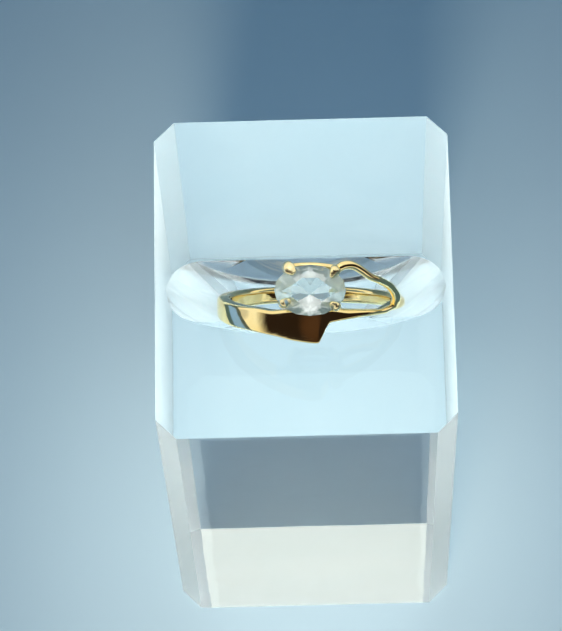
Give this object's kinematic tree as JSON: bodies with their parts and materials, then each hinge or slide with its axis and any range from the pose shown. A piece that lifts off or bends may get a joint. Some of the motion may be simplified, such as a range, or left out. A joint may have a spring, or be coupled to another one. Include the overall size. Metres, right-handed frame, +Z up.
{
  "type": "topaz bypass ring on a clear display block",
  "caption": "Slim bypass finger ring with an oval stone in a claw basket, standing in the round-ended groove of a clear chamfered display block.",
  "frame": {"origin": "middle of the display block's underside", "axes": "+X along the groove to the viewer's right, +Y to the rear, +Z up out of the block's top"},
  "size_m": [0.0318, 0.0364, 0.0742],
  "materials": {
    "clear_acrylic": "clear cast acrylic with polished faces",
    "polished_gold": "mirror-polished yellow gold",
    "pale_topaz": "faceted and polished, near colourless with an icy tint"
  },
  "bodies": {
    "root": {"display_block": "clear_acrylic", "gold_ring": "polished_gold", "topaz": "pale_topaz"}
  },
  "joints": []
}
